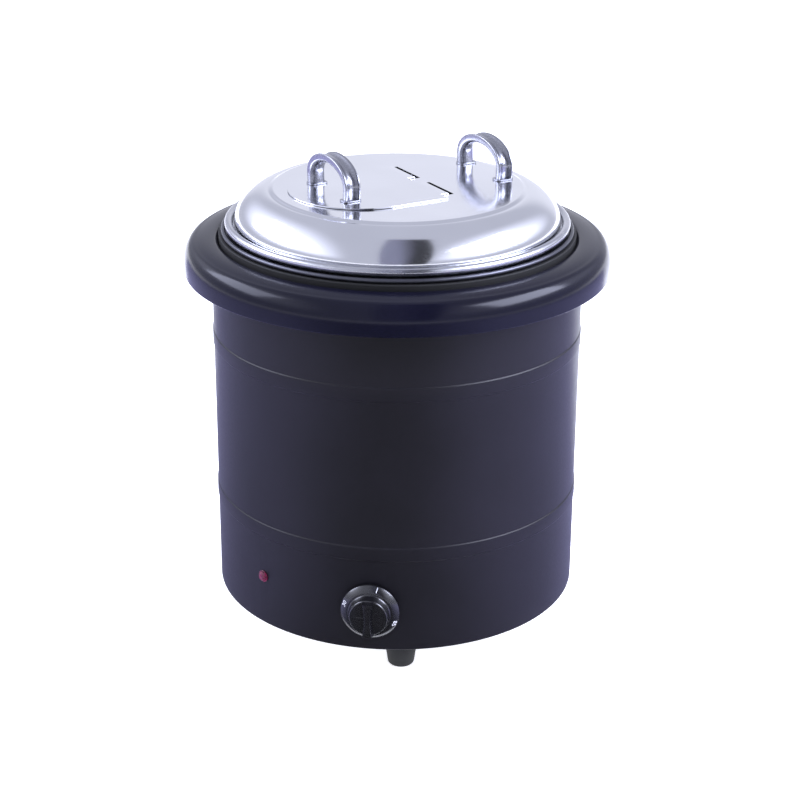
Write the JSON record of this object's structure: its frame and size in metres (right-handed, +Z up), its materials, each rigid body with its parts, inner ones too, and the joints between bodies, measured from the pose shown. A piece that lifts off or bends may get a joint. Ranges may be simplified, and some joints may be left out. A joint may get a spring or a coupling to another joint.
{
  "type": "soup kettle",
  "caption": "Electric wet-heat soup kettle: round black steel jacket with a rounded collar, heated water tank, lift-out pot, stainless lid with a hinged serving flap, and a thermostat knob.",
  "frame": {"origin": "on the kettle's vertical axis, on the surface that its feet stand on", "axes": "+Z up; the control knob faces -Y, the cable gland +Y; +X is to the right seen from the knob"},
  "size_m": [0.35, 0.35, 0.4016],
  "materials": {
    "jacket_coat": "satin black powder coat",
    "collar_coat": "fine-textured black enamel",
    "polished_steel": "mirror polished stainless steel",
    "satin_steel": "satin stainless steel",
    "zinc_steel": "zinc plated steel",
    "aluminium": "rolled sheet",
    "copper": "drawn copper",
    "black_plastic": "moulded phenolic, satin gloss",
    "black_rubber": "moulded rubber, matt",
    "red_lens": "clear red polycarbonate",
    "ceramic": "unglazed steatite",
    "glass_wool": "pressed glass wool",
    "lead_sleeve": "silicone sleeving"
  },
  "bodies": {
    "kettle": {"outer_body": "jacket_coat", "top_collar": "collar_coat", "heat_ring": "black_rubber", "water_tank": "satin_steel", "insulation_blanket": "glass_wool", "heating_element": "satin_steel", "clamp_plate": "aluminium", "heat_shield": "zinc_steel", "tank_stud": "zinc_steel", "clamp_nut": "zinc_steel", "shield_nut": "zinc_steel", "thermal_cutout": "ceramic", "sensor_bulb": "copper", "bulb_clip": "zinc_steel", "capillary_tube": "copper", "thermostat": "black_plastic", "thermostat_screw_1": "zinc_steel", "thermostat_screw_2": "zinc_steel", "lamp_lens": "red_lens", "lamp_housing": "black_plastic", "base_plate": "zinc_steel", "foot_1": "black_rubber", "foot_2": "black_rubber", "foot_3": "black_rubber", "foot_stud_1": "zinc_steel", "foot_stud_2": "zinc_steel", "foot_stud_3": "zinc_steel", "foot_nut_1": "zinc_steel", "foot_nut_2": "zinc_steel", "foot_nut_3": "zinc_steel", "base_screw_1": "zinc_steel", "base_screw_2": "zinc_steel", "base_screw_3": "zinc_steel", "earth_screw": "zinc_steel", "terminal_block": "ceramic", "cable_gland": "black_plastic", "gland_nut": "black_plastic", "element_lead_1": "lead_sleeve", "element_lead_2": "lead_sleeve", "thermostat_lead": "lead_sleeve"},
    "control_knob": {"knob": "black_plastic", "thermostat_shaft": "zinc_steel"},
    "pot": {"insert_pot": "satin_steel"},
    "kettle_lid": {"lid": "polished_steel", "lid_handle": "polished_steel", "hinge_pin": "satin_steel", "hinge_lug_1": "satin_steel", "hinge_lug_2": "satin_steel", "hinge_lug_3": "satin_steel"},
    "flap": {"lid_flap": "polished_steel", "flap_handle": "polished_steel"}
  },
  "joints": [
    {"name": "knob_turn", "type": "hinge", "parent": "kettle", "child": "control_knob", "pos_m": [0, -0.16, 0.062], "axis": [0, 1, 0], "range_deg": [0, 270]},
    {"name": "pot_lift", "type": "slide", "parent": "kettle", "child": "pot", "axis": [0, 0, 1], "range_m": [0, 0.25]},
    {"name": "lid_lift", "type": "slide", "parent": "pot", "child": "kettle_lid", "axis": [0, 0, 1], "range_m": [0, 0.1]},
    {"name": "flap_hinge", "type": "hinge", "parent": "kettle_lid", "child": "flap", "pos_m": [0.01407, 0.01557, 0.3664], "axis": [-0.6004, 0.7997, 0], "range_deg": [0, 110]}
  ]
}
